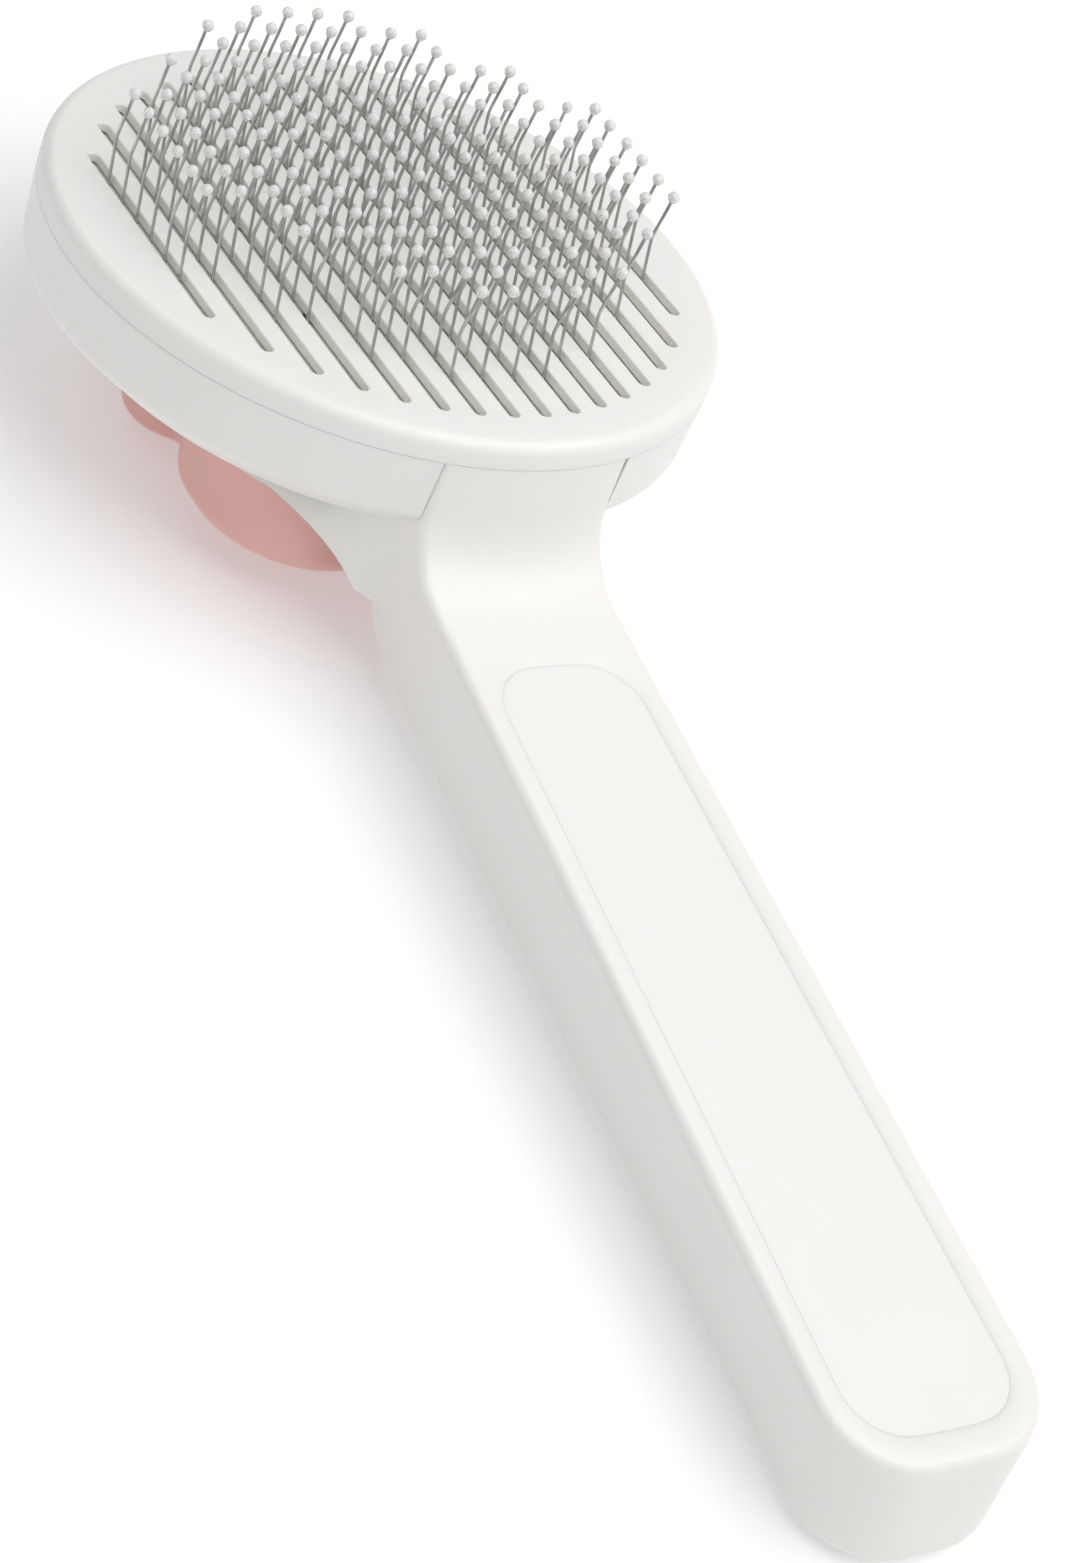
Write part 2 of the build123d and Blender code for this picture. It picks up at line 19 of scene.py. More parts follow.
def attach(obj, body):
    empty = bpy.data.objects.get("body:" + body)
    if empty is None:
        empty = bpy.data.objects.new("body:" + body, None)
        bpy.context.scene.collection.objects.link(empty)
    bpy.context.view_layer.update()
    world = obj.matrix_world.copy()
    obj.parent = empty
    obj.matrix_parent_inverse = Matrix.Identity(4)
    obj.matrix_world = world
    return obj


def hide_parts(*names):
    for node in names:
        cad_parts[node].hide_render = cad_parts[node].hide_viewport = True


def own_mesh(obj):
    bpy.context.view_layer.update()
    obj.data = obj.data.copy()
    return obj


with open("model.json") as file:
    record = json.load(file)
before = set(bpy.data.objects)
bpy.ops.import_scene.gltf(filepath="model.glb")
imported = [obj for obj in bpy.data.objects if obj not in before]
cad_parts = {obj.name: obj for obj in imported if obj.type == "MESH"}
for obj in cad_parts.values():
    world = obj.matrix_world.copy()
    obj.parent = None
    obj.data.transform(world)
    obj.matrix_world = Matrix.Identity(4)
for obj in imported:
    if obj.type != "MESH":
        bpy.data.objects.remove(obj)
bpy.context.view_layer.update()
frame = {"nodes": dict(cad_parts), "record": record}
LOG = logging.getLogger("slicker_brush")
Colour = tuple[float, float, float]
Socket = bpy.types.NodeSocket
MM_PER_M = 1000.0
OPAQUE = 1.0


# ---- the head's frame ----------------------------------------------------------------------------


@dataclass(frozen=True)
class HeadFrame:
    """The head's frame inside the row's frame."""

    origin: Vector
    along: Vector
    out: Vector
    face_above_push: float = 26.5
    push_towards_handle: float = 6.0

    @classmethod
    def from_record(cls, record: dict) -> "HeadFrame":
        """Finds the frame from the push-off joint's axis and the push face's mount.

        Args:
            record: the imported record, with its joints and mounts.

        Returns:
            The head's frame, with its origin in metres.
        """
        out = Vector(record["behaviour"]["joints"][0]["axis"]).normalized()
        along = Vector((0.0, out.z, -out.y))
        mounts = {mount["name"]: mount for mount in record["mounts"]}
        push = Vector(mounts["push_face"]["pos_m"])
        origin = push + (out * cls.face_above_push + along * cls.push_towards_handle) / MM_PER_M
        return cls(origin, along, out)

    def matrix(self) -> Matrix:
        """The turn and shift from the head's frame, in metres, to the row's."""
        turn = Matrix(((1.0, 0.0, 0.0), tuple(self.along), tuple(self.out))).transposed()
        return Matrix.Translation(self.origin) @ turn.to_4x4()

    def place(self, points: np.ndarray) -> np.ndarray:
        """Turns points in the head's millimetres into the row's metres.

        Args:
            points: an array whose last axis is x, y, z.

        Returns:
            An array of the same shape.
        """
        basis = np.array([(1.0, 0.0, 0.0), tuple(self.along), tuple(self.out)])
        return points / MM_PER_M @ basis + np.array(self.origin)


# ---- node helper ---------------------------------------------------------------------------------


class NodeSketch:
    """One material's node tree, with short calls to add nodes and link them."""

    def __init__(self, name: str) -> None:
        """Starts a material with its surface shader alone."""
        self.material = bpy.data.materials.new(name)
        self.material.use_nodes = True
        self.tree = self.material.node_tree
        self.shader = self.tree.nodes["Principled BSDF"]
        self.place = self.tree.nodes.new("ShaderNodeTexCoord").outputs["Object"]

    def set(self, **sockets: float | Colour) -> None:
        """Sets the shader's own sockets, named with underscores in place of spaces.

        Args:
            sockets: a number, or three of them for a colour or a vector.
        """
        for name, value in sockets.items():
            socket = self.shader.inputs[name.replace("_", " ")]
            socket.default_value = (*value, OPAQUE) if socket.type == "RGBA" else value

    def stretched(self, scale: Colour) -> Socket:
        """Object coordinates scaled differently along each axis.

        Args:
            scale: the scale along X, Y and Z.

        Returns:
            The scaled coordinates.
        """
        node = self.tree.nodes.new("ShaderNodeMapping")
        node.inputs["Scale"].default_value = scale
        self.tree.links.new(self.place, node.inputs["Vector"])
        return node.outputs["Vector"]

    def noise(self, size_mm: float, detail: float = 2.0, vector: Socket | None = None) -> Socket:
        """A noise whose blotches are about size_mm across.

        Args:
            size_mm: the blotches' size.
            detail: how many finer layers it has.
            vector: coordinates other than the object's.

        Returns:
            The noise's height, 0 to 1.
        """
        node = self.tree.nodes.new("ShaderNodeTexNoise")
        node.inputs["Scale"].default_value = MM_PER_M / size_mm
        node.inputs["Detail"].default_value = detail
        self.tree.links.new(vector or self.place, node.inputs["Vector"])
        return node.outputs["Fac"]

    def ranged(self, value: Socket, low: float, high: float, start: float = 0.3, end: float = 0.7) -> Socket:
        """Carries start..end of a value onto low..high.

        Args:
            value: the number to carry over.
            low: what start becomes.
            high: what end becomes.
            start: the lower end of the value's span.
            end: the upper end of the value's span.

        Returns:
            The new number, held between low and high.
        """
        node = self.tree.nodes.new("ShaderNodeMapRange")
        for name, number in zip(("From Min", "From Max", "To Min", "To Max"), (start, end, low, high)):
            node.inputs[name].default_value = number
        self.tree.links.new(value, node.inputs["Value"])
        return node.outputs["Result"]

    def mixed(self, share: Socket, first: Colour, second: Colour) -> Socket:
        """A colour between first and second.

        Args:
            share: how much of the second it has, 0 to 1.
            first: the colour at 0.
            second: the colour at 1.

        Returns:
            The mixed colour.
        """
        node = self.tree.nodes.new("ShaderNodeMix")
        node.data_type = "RGBA"
        factor, colour_a, colour_b = (node.inputs[number] for number in (0, 6, 7))
        colour_a.default_value = (*first, OPAQUE)
        colour_b.default_value = (*second, OPAQUE)
        self.tree.links.new(share, factor)
        return node.outputs[2]

    def bump(self, height: Socket, depth_mm: float, strength: float, under: Socket | None = None) -> Socket:
        """A bumped normal, on top of another if one is given.

        Args:
            height: the relief, 0 to 1.
            depth_mm: how deep the relief is.
            strength: how much of it shows, 0 to 1.
            under: a normal that is bumped already.

        Returns:
            The bumped normal.
        """
        node = self.tree.nodes.new("ShaderNodeBump")
        node.inputs["Distance"].default_value = depth_mm / MM_PER_M
        node.inputs["Strength"].default_value = strength
        self.tree.links.new(height, node.inputs["Height"])
        if under is not None:
            self.tree.links.new(under, node.inputs["Normal"])
        return node.outputs["Normal"]

    def feed(self, socket: str, value: Socket) -> None:
        """Links a value to one of the shader's sockets."""
        self.tree.links.new(value, self.shader.inputs[socket])


# ---- finishes ------------------------------------------------------------------------------------


@dataclass(frozen=True)
class MouldedPlastic:
    """Injection-moulded plastic: a spark-eroded grain, slight flow marks and a soft gloss."""

    name: str
    colour: Colour
    flow_colour: Colour
    roughness: tuple[float, float] = (0.36, 0.46)
    grain_mm: float = 0.35
    grain_depth_mm: float = 0.004
    grain_strength: float = 0.8
    gloss_mm: float = 4.0
    flow_mm: float = 30.0
    flow_depth_mm: float = 0.02
    flow_strength: float = 0.4
    glow: float = 0.06
    glow_reach_mm: float = 2.0
    glow_spread: Colour = (1.0, 0.8, 0.7)
    ior: float = 1.49

    def build(self) -> bpy.types.Material:
        """Builds the material: fine grain in the bump, broad flow marks in colour and gloss.

        Returns:
            The finished material.
        """
        sketch = NodeSketch(self.name)
        sketch.set(IOR=self.ior, Subsurface_Weight=self.glow)
        sketch.set(Subsurface_Scale=self.glow_reach_mm / MM_PER_M, Subsurface_Radius=self.glow_spread)
        flow = sketch.noise(self.flow_mm, 3.0)
        sketch.feed("Base Color", sketch.mixed(sketch.ranged(flow, 0.0, 1.0), self.colour, self.flow_colour))
        fine = sketch.noise(self.grain_mm, 3.0)
        sketch.feed("Roughness", sketch.ranged(sketch.noise(self.gloss_mm), *self.roughness))
        wave = sketch.bump(flow, self.flow_depth_mm, self.flow_strength)
        sketch.feed("Normal", sketch.bump(fine, self.grain_depth_mm, self.grain_strength, wave))
        return sketch.material


@dataclass(frozen=True)
class DrawnWire:
    """Drawn steel wire: fine lines along it and a dull sheen."""

    name: str
    colour: Colour = (0.58, 0.58, 0.57)
    dark: Colour = (0.40, 0.40, 0.39)
    roughness: tuple[float, float] = (0.26, 0.42)
    line_mm: float = 0.12
    line_stretch: Colour = (1.0, 1.0, 0.08)
    line_depth_mm: float = 0.006
    blotch_mm: float = 2.5

    def build(self) -> bpy.types.Material:
        """Builds the material: noise stretched along Z makes the drawing lines.

        Returns:
            The finished material.
        """
        sketch = NodeSketch(self.name)
        sketch.set(Metallic=1.0)
        lines = sketch.noise(self.line_mm, 2.0, sketch.stretched(self.line_stretch))
        blotch = sketch.noise(self.blotch_mm)
        sketch.feed("Base Color", sketch.mixed(sketch.ranged(blotch, 0.0, 1.0), self.colour, self.dark))
        sketch.feed("Roughness", sketch.ranged(lines, *self.roughness))
        sketch.feed("Normal", sketch.bump(lines, self.line_depth_mm, 0.5))
        return sketch.material


@dataclass(frozen=True)
class ResinBead:
    """The cured resin drop over a pin's end: milky, with a wet gloss."""

    name: str
    colour: Colour = (0.99, 0.99, 0.98)
    warm: Colour = (0.96, 0.96, 0.94)
    roughness: tuple[float, float] = (0.22, 0.38)
    ior: float = 1.28
    clear: float = 0.30
    milky: float = 0.6
    milk_reach_mm: float = 1.2
    milk_spread: Colour = (1.0, 1.0, 0.9)
    blotch_mm: float = 1.2
    gloss_mm: float = 0.5

    def build(self) -> bpy.types.Material:
        """Builds the material: milky body with a little light passing through.

        Returns:
            The finished material.
        """
        sketch = NodeSketch(self.name)
        sketch.set(IOR=self.ior, Transmission_Weight=self.clear, Subsurface_Weight=self.milky)
        sketch.set(Subsurface_Scale=self.milk_reach_mm / MM_PER_M, Subsurface_Radius=self.milk_spread)
        blotch = sketch.noise(self.blotch_mm, 1.0)
        sketch.feed("Base Color", sketch.mixed(sketch.ranged(blotch, 0.0, 1.0), self.colour, self.warm))
        sketch.feed("Roughness", sketch.ranged(sketch.noise(self.gloss_mm), *self.roughness))
        return sketch.material


@dataclass(frozen=True)
class FoamPad:
    """The soft pad behind the slots: matt, with open cells."""

    name: str
    colour: Colour = (0.93, 0.925, 0.885)
    hollow: Colour = (0.86, 0.85, 0.80)
    roughness: tuple[float, float] = (0.8, 0.95)
    gloss_mm: float = 3.0
    cell_mm: float = 0.5
    cell_depth_mm: float = 0.08
    cell_strength: float = 0.7

    def build(self) -> bpy.types.Material:
        """Builds the material: cells from Voronoi distance in the bump and the colour.

        Returns:
            The finished material.
        """
        sketch = NodeSketch(self.name)
        cells = sketch.tree.nodes.new("ShaderNodeTexVoronoi")
        cells.inputs["Scale"].default_value = MM_PER_M / self.cell_mm
        sketch.tree.links.new(sketch.place, cells.inputs["Vector"])
        depth = cells.outputs["Distance"]
        share = sketch.ranged(depth, 0.0, 1.0, 0.1, 0.8)
        sketch.feed("Base Color", sketch.mixed(share, self.colour, self.hollow))
        sketch.feed("Roughness", sketch.ranged(sketch.noise(self.gloss_mm), *self.roughness))
        sketch.feed("Normal", sketch.bump(depth, self.cell_depth_mm, self.cell_strength))
        return sketch.material


@dataclass(frozen=True)
class PlatedSteel:
    """Zinc-plated screws and spring wire: bright, slightly mottled."""

    name: str
    colour: Colour = (0.62, 0.63, 0.65)
    mottle: Colour = (0.48, 0.49, 0.52)
    roughness: tuple[float, float] = (0.22, 0.38)
    mottle_mm: float = 0.8
    mottle_depth_mm: float = 0.006
    gloss_mm: float = 0.3

    def build(self) -> bpy.types.Material:
        """Builds the material: fine mottle in colour and gloss.

        Returns:
            The finished material.
        """
        sketch = NodeSketch(self.name)
        sketch.set(Metallic=1.0)
        mottle = sketch.noise(self.mottle_mm, 3.0)
        sketch.feed("Base Color", sketch.mixed(sketch.ranged(mottle, 0.0, 1.0), self.colour, self.mottle))
        sketch.feed("Roughness", sketch.ranged(sketch.noise(self.gloss_mm), *self.roughness))
        sketch.feed("Normal", sketch.bump(mottle, self.mottle_depth_mm, 0.5))
        return sketch.material


class Finish(Enum):
    """The brush's finishes, by the record's material slots."""

    WHITE = "white_plastic"
    ROSE = "pink_plastic"
    INNER = "inner_plastic"
    PAD = "pad"
    WIRE = "pin_wire"
    RESIN = "tip_resin"
    SPRING = "spring_steel"
    SCREW = "screw_steel"


Recipe = MouldedPlastic | DrawnWire | ResinBead | FoamPad | PlatedSteel

RECIPES: dict[Finish, Recipe] = {
    Finish.WHITE: MouldedPlastic(
        "glossy white moulding", colour=(0.860, 0.847, 0.828), flow_colour=(0.842, 0.828, 0.806), glow=0.14
    ),
    Finish.ROSE: MouldedPlastic(
        "rose moulding", colour=(0.800, 0.452, 0.418), flow_colour=(0.770, 0.426, 0.393), glow=0.04
    ),
    Finish.INNER: MouldedPlastic(
        "inner moulding", colour=(0.74, 0.74, 0.71), flow_colour=(0.70, 0.70, 0.67), roughness=(0.5, 0.6)
    ),
    Finish.PAD: FoamPad("pin pad foam"),
    Finish.WIRE: DrawnWire("pin wire"),
    Finish.RESIN: ResinBead("resin bead"),
    Finish.SPRING: DrawnWire("spring wire", colour=(0.50, 0.50, 0.52), dark=(0.38, 0.38, 0.40)),
    Finish.SCREW: PlatedSteel("plated screw"),
}


@dataclass
class FinishBook:
    """Builds each finish once and hands it out."""

    made: dict[Finish, bpy.types.Material] = field(default_factory=dict)

    def get(self, finish: Finish) -> bpy.types.Material:
        """The finish's material, built the first time it's asked for.

        Args:
            finish: which finish.

        Returns:
            Its material.
        """
        if finish not in self.made:
            self.made[finish] = RECIPES[finish].build()
        return self.made[finish]

    def dress(self, piece: bpy.types.Object, finish: Finish) -> None:
        """Gives a piece one finish all over."""
        piece.data.materials.clear()
        piece.data.materials.append(self.get(finish))


# ---- mesh helpers --------------------------------------------------------------------------------


def grid_faces(rows: int, columns: int, closed: bool) -> np.ndarray:
    """The quads of a grid of points, row by row.

    Args:
        rows: how many rows of points.
        columns: how many points in a row.
        closed: True if the last column joins the first.

    Returns:
        The quads' corners, shaped (quads, 4).
    """
    spans = columns if closed else columns - 1
    row = np.arange(rows - 1)[:, None]
    column = np.arange(spans)[None, :]
    beside = (column + 1) % columns
    here = row * columns
    above = here + columns
    corners = (here + column, here + beside, above + beside, above + column)
    return np.stack(corners, axis=-1).reshape(-1, 4)


def many_tubes(name: str, rings: np.ndarray, head: HeadFrame) -> bpy.types.Object:
    """One mesh of many closed tubes, each closed at its ends by a fan round a pole.

    Args:
        name: the new object's name.
        rings: points in the head's millimetres, shaped (tubes, rings, points round, 3).
        head: the head's frame.

    Returns:
        The object, in the row's frame and shaded smooth.
    """
    tubes, levels, around, _ = rings.shape
    poles = np.stack((rings[:, 0].mean(axis=1), rings[:, -1].mean(axis=1)), axis=1)
    points = np.concatenate((rings.reshape(tubes, -1, 3), poles), axis=1)
    side = grid_faces(levels, around, True)
    turn = np.arange(around)
    beside = (turn + 1) % around
    last = (levels - 1) * around
    low_pole = np.full(around, levels * around)
    low = np.stack((beside, turn, low_pole), axis=-1)
    high = np.stack((last + turn, last + beside, low_pole + 1), axis=-1)
    step = np.arange(tubes)[:, None, None] * points.shape[1]
    quads = (side + step).reshape(-1, 4)
    fans = (np.concatenate((low, high)) + step).reshape(-1, 3)
    mesh = bpy.data.meshes.new(name)
    mesh.from_pydata(head.place(points.reshape(-1, 3)).tolist(), [], quads.tolist() + fans.tolist())
    mesh.polygons.foreach_set("use_smooth", np.ones(len(mesh.polygons), bool))
    mesh.update()
    piece = bpy.data.objects.new(name, mesh)
    bpy.context.scene.collection.objects.link(piece)
    return piece


def smooth_copy(
    node: str, name: str, join_within: float = 2e-6, sharp_from: float = 28.0
) -> bpy.types.Object:
    """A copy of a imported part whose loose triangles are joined, shaded smooth but for its sharp edges.

    Args:
        node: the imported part.
        name: the copy's name.
        join_within: vertices closer than this many metres become one.
        sharp_from: edges that turn by more than this many degrees stay sharp.

    Returns:
        The copy, which stands for the part.
    """
    mesh = frame["nodes"][node].data.copy()
    mesh.name = name
    sheet = bmesh.new()
    sheet.from_mesh(mesh)
    bmesh.ops.remove_doubles(sheet, verts=sheet.verts, dist=join_within)
    sheet.to_mesh(mesh)
    sheet.free()
    if "custom_normal" in mesh.attributes:
        mesh.attributes.remove(mesh.attributes["custom_normal"])
    mesh.polygons.foreach_set("use_smooth", np.ones(len(mesh.polygons), bool))
    mesh.set_sharp_from_angle(angle=math.radians(sharp_from))
    copy = bpy.data.objects.new(name, mesh)
    bpy.context.scene.collection.objects.link(copy)
    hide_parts(node)
    return copy


# ---- sub-assemblies ------------------------------------------------------------------------------


@dataclass(frozen=True)
class Moulding:
    """One moulding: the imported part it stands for, its name, the body it rides on and its finish."""

    node: str
    name: str
    body: str
    finish: Finish


@dataclass(frozen=True)
class MouldedCase:
    """The white mouldings: shell, handle cover, ring and face plate, and the rose paw button."""

    mouldings: tuple[Moulding, ...] = (
        Moulding("body_shell", "shell", "brush", Finish.WHITE),
        Moulding("handle_cover", "handle_front", "brush", Finish.WHITE),
        Moulding("head_ring", "wall_ring", "brush", Finish.WHITE),
        Moulding("face_plate", "slotted_face", "carriage", Finish.WHITE),
        Moulding("paw_button", "paw", "carriage", Finish.ROSE),
    )

    def build(self, book: FinishBook) -> list[bpy.types.Object]:
        """Makes each moulding's smooth copy and dresses it.

        Args:
            book: the finishes.

        Returns:
            The copies.
        """
        made = []
        for moulding in self.mouldings:
            piece = smooth_copy(moulding.node, moulding.name)
            book.dress(piece, moulding.finish)
            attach(piece, moulding.body)
            made.append(piece)
        return made


@dataclass
class PinField:
    """The bent wire pins and their resin tips."""

    slot_count: int = 16
    slot_pitch: float = 4.0
    row_pitch: float = 3.65
    row_offset: float = -0.35
    rows_by_pair: tuple[tuple[int, int], ...] = ((-2, 3), (-4, 5), (-6, 7), (-7, 8))
    wire_radius: float = 0.2
    foot: float = -4.0
    bend_height: float = 4.5
    lower_lean: float = 0.235
    upper_lean: float = -0.16
    bend_softness: float = 0.2
    wire_top: float = 10.3
    bead_height: float = 10.4
    bead_radius: float = 0.69
    bead_draw: float = 1.08
    bead_spread: float = 0.035
    bead_smallest: float = 0.92
    wander: float = 0.01
    seed: int = 7

    def feet(self) -> np.ndarray:
        """Where each pin passes the face.

        Returns:
            An array of x, y and the number of the pin's pair of slots.
        """
        places = []
        for slot in range(self.slot_count):
            pair = slot // 2
            from_edge = min(pair, self.slot_count // 2 - 1 - pair)
            low, high = self.rows_by_pair[from_edge]
            x = (slot - (self.slot_count - 1) / 2) * self.slot_pitch
            places += [(x, self.row_offset + self.row_pitch * row, pair) for row in range(low, high + 1)]
        return np.array(places)

    def lean(self, z: np.ndarray) -> np.ndarray:
        """How far the wire stands forward: two straight slopes with a soft bend between.

        Args:
            z: heights above the face.

        Returns:
            The distance along Y at each height.
        """
        change = self.upper_lean - self.lower_lean
        soft = self.bend_softness
        past = soft * np.logaddexp(0.0, (z - self.bend_height) / soft)
        return self.lower_lean * z + change * past

    def wander_of(self, count: int) -> np.ndarray:
        """A small steady error of each pin's lean, in x and y, per millimetre of height."""
        return np.random.default_rng(self.seed).normal(0.0, self.wander, (count, 2))

    def axis_points(self, feet: np.ndarray, drift: np.ndarray, z: np.ndarray) -> np.ndarray:
        """Points on each pin's axis.

        Args:
            feet: where the pins pass the face.
            drift: each pin's error of lean.
            z: the heights wanted.

        Returns:
            The points, shaped (pins, heights, 3).
        """
        height = np.broadcast_to(z, (len(feet), len(z)))
        clear = np.maximum(height, 0.0)
        x = feet[:, :1] + drift[:, :1] * clear
        y = feet[:, 1:2] + self.lean(height) + drift[:, 1:] * clear
        return np.stack((x, y, height), axis=-1)

    def wires(self, feet: np.ndarray, drift: np.ndarray, around: int = 6) -> np.ndarray:
        """Rings of a level circle carried up each pin's axis, closer together at the bend.

        Args:
            feet: where the pins pass the face.
            drift: each pin's error of lean.
            around: how many points a ring has.

        Returns:
            The points, shaped (pins, rings, points round, 3).
        """
        z = np.array((self.foot, 1.5, 3.8, 4.2, 4.5, 4.8, 5.2, self.wire_top))
        axis = self.axis_points(feet, drift, z)
        turn = np.linspace(0.0, 2 * math.pi, around, endpoint=False)
        circle = self.wire_radius * np.stack((np.cos(turn), np.sin(turn), np.zeros(around)), axis=-1)
        return axis[:, :, None, :] + circle

    def beads(self, feet: np.ndarray, drift: np.ndarray, around: int = 8) -> np.ndarray:
        """Rings of a drop: a sphere whose lower part draws down a little onto the wire.

        Args:
            feet: where the pins pass the face.
            drift: each pin's error of lean.
            around: how many points a ring has.

        Returns:
            The points, shaped (pins, rings, points round, 3).
        """
        polar = np.linspace(0.22, math.pi - 0.16, 7)[:, None]
        turn = np.linspace(0.0, 2 * math.pi, around, endpoint=False)
        draw = np.where(polar < math.pi / 2, self.bead_draw, 1.0)
        x = np.sin(polar) * np.cos(turn)
        y = np.sin(polar) * np.sin(turn)
        z = np.broadcast_to(-np.cos(polar) * draw, x.shape)
        drop = self.bead_radius * np.stack((x, y, z), axis=-1)
        size = np.random.default_rng(self.seed + 1).normal(1.0, self.bead_spread, (len(feet), 1, 1, 1))
        middle = self.axis_points(feet, drift, np.array((self.bead_height,)))
        return middle[:, :, None, :] + drop * np.clip(size, self.bead_smallest, 1.0)

    def build(self, head: HeadFrame, book: FinishBook) -> list[bpy.types.Object]:
        """Makes the wires and the tips of each pair of slots.

        Args:
            head: the head's frame.
            book: the finishes.

        Returns:
            Two pieces for each pair of slots.
        """
        made = []
        feet = self.feet()
        drift = self.wander_of(len(feet))
        beads = self.beads(feet, drift)
        wires = self.wires(feet, drift)
        for pair in range(self.slot_count // 2):
            mine = feet[:, 2] == pair
            number = pair + 1
            for name, node, rings, finish in (
                (f"pin_beads_{number}", f"pin_tips_{number}", beads[mine], Finish.RESIN),
                (f"pin_legs_{number}", f"pin_staples_{number}", wires[mine], Finish.WIRE),
            ):
                piece = many_tubes(name, rings, head)
                book.dress(piece, finish)
                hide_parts(node)
                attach(piece, "brush")
                made.append(piece)
        return made


@dataclass
class InnerWorks:
    """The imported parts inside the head, which keep their meshes and get finishes, and the spring."""

    spring_low: float = -24.7
    spring_high: float = -6.5
    kept: tuple[str, ...] = (
        "needle_pad",
        "backing_plate",
        "pusher_plate",
        "guide_post_1",
        "guide_post_2",
        "guide_post_3",
        "guide_post_4",
        "backing_screws",
        "post_screws",
    )

    def coil(self, head: HeadFrame, book: FinishBook) -> bpy.types.Object:
        """The return spring's copy, with a mesh of its own.

        Args:
            head: the head's frame.
            book: the finishes.

        Returns:
            The spring.
        """
        spring = smooth_copy("return_spring", "return_coil")
        book.dress(spring, Finish.SPRING)
        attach(spring, "brush")
        seat = head.place(np.array((0.0, 0.0, self.spring_high)))
        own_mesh(spring)
        return spring

    def build(self, head: HeadFrame, book: FinishBook) -> list[bpy.types.Object]:
        """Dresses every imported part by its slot, the inner parts among them, and adds the spring.

        Args:
            head: the head's frame.
            book: the finishes.

        Returns:
            The inner parts and the spring.
        """
        for entry in frame["record"]["subparts"]:
            book.dress(frame["nodes"][entry["node"]], Finish(entry["material_slot"]))
        return [frame["nodes"][node] for node in self.kept] + [self.coil(head, book)]


# ---- studio --------------------------------------------------------------------------------------


class LampRole(Enum):
    """What a lamp does for the picture."""

    KEY = "key lamp"
    FILL = "fill lamp"
    RIM = "rim lamp"


@dataclass(frozen=True)
class Lamp:
    """A square soft box: where it stands from the brush, how large it is and how strong."""

    role: LampRole
    azimuth: float
    elevation: float
    distance: float
    size: float
    watts: float
    colour: Colour = (1.0, 1.0, 1.0)


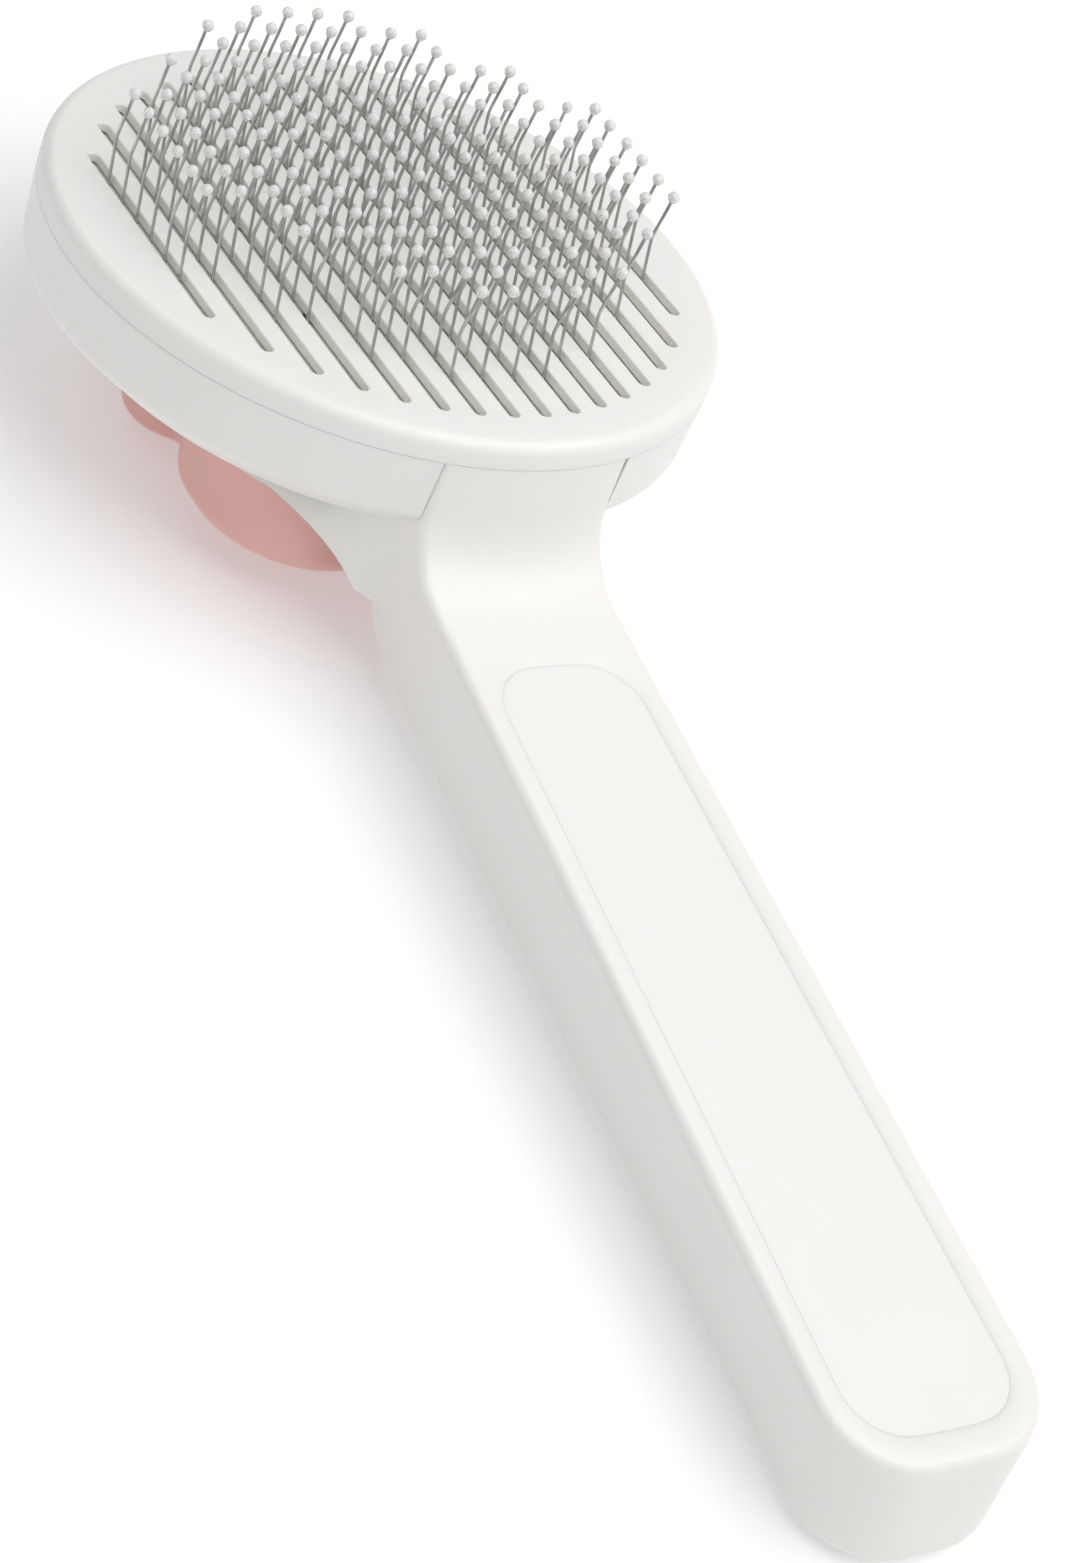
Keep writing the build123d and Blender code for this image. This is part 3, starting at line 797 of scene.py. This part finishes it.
@dataclass
class Studio:
    """Pale floor, even sky and three soft boxes, with the camera over the handle's left."""

    aim_mm: Colour = (4.74, -51.62, -35.54)
    azimuth: float = -43.334
    elevation: float = 34.381
    roll: float = 23.167
    distance_mm: float = 430.36
    lens: float = 91.875
    floor_half: float = 6.0
    floor_glow: float = 0.30
    sky: float = 0.33
    floor_grey: Colour = (0.72, 0.72, 0.72)
    middle: Colour = (0.0, 0.0, 0.02)
    lamps: tuple[Lamp, ...] = (
        Lamp(LampRole.KEY, azimuth=45.0, elevation=70.0, distance=0.9, size=1.1, watts=8.7),
        Lamp(LampRole.FILL, azimuth=-80.0, elevation=24.0, distance=0.9, size=0.6, watts=0.6),
        Lamp(LampRole.RIM, azimuth=150.0, elevation=35.0, distance=0.8, size=0.5, watts=0.4),
    )

    @staticmethod
    def out_from(azimuth: float, elevation: float) -> Vector:
        """The unit vector towards an azimuth and elevation in degrees; azimuth 0 is the handle's side."""
        a, e = math.radians(azimuth), math.radians(elevation)
        return Vector((math.sin(a) * math.cos(e), -math.cos(a) * math.cos(e), math.sin(e)))

    def make_camera(self, head: HeadFrame) -> None:
        """Stands the camera off the aim, in the head's frame, and rolls it about its own axis."""
        lens = bpy.data.cameras.new("camera")
        lens.sensor_width = 36.0
        lens.lens = self.lens
        lens.clip_start, lens.clip_end = 0.01, 50.0
        camera = bpy.data.objects.new("camera", lens)
        bpy.context.scene.collection.objects.link(camera)
        back = self.out_from(self.azimuth, self.elevation)
        level = (-back).to_track_quat("-Z", "Y").to_matrix().to_4x4()
        stand = Matrix.Translation((Vector(self.aim_mm) + back * self.distance_mm) / MM_PER_M)
        camera.matrix_world = head.matrix() @ stand @ level @ Matrix.Rotation(math.radians(self.roll), 4, "Z")
        bpy.context.scene.camera = camera

    def make_floor(self) -> None:
        """A plain pale floor just under the brush."""
        half = self.floor_half
        mesh = bpy.data.meshes.new("floor")
        corners = [(-half, -half, 0.0), (half, -half, 0.0), (half, half, 0.0), (-half, half, 0.0)]
        mesh.from_pydata(corners, [], [(0, 1, 2, 3)])
        floor = bpy.data.objects.new("floor", mesh)
        bpy.context.scene.collection.objects.link(floor)
        sketch = NodeSketch("studio floor")
        sketch.set(Base_Color=self.floor_grey, Roughness=0.9, Specular_IOR_Level=0.1)
        sketch.set(Emission_Color=(1.0, 1.0, 1.0), Emission_Strength=self.floor_glow)
        mesh.materials.append(sketch.material)

    def make_light(self) -> None:
        """Even white sky and the soft boxes, all facing the brush's middle."""
        world = bpy.data.worlds.new("sky")
        world.use_nodes = True
        dome = world.node_tree.nodes["Background"]
        dome.inputs["Color"].default_value = (1.0, 1.0, 1.0, OPAQUE)
        dome.inputs["Strength"].default_value = self.sky
        bpy.context.scene.world = world
        for lamp in self.lamps:
            light = bpy.data.lights.new(lamp.role.value, "AREA")
            light.shape = "SQUARE"
            light.size = lamp.size
            light.energy = lamp.watts
            light.color = lamp.colour
            stand = bpy.data.objects.new(lamp.role.value, light)
            bpy.context.scene.collection.objects.link(stand)
            out = self.out_from(lamp.azimuth, lamp.elevation)
            stand.location = Vector(self.middle) + out * lamp.distance
            stand.rotation_mode = "QUATERNION"
            stand.rotation_quaternion = (-out).to_track_quat("-Z", "Y")

    def build(self, head: HeadFrame) -> None:
        """Makes camera, floor and light, and shows colours as they are."""
        self.make_camera(head)
        self.make_floor()
        self.make_light()
        bpy.context.scene.view_settings.view_transform = "Standard"
        bpy.context.scene.view_settings.look = "None"


def main() -> None:
    """Builds the studio and every sub-assembly, and logs each piece's number of faces."""
    logging.basicConfig(level=logging.INFO, format="%(message)s")
    head = HeadFrame.from_record(frame["record"])
    Studio().build(head)
    book = FinishBook()
    pieces = InnerWorks().build(head, book)
    pieces += MouldedCase().build(book)
    pieces += PinField().build(head, book)
    for piece in pieces:
        LOG.info("%s: %d faces", piece.name, len(piece.data.polygons))


if __name__ == "__main__":
    main()
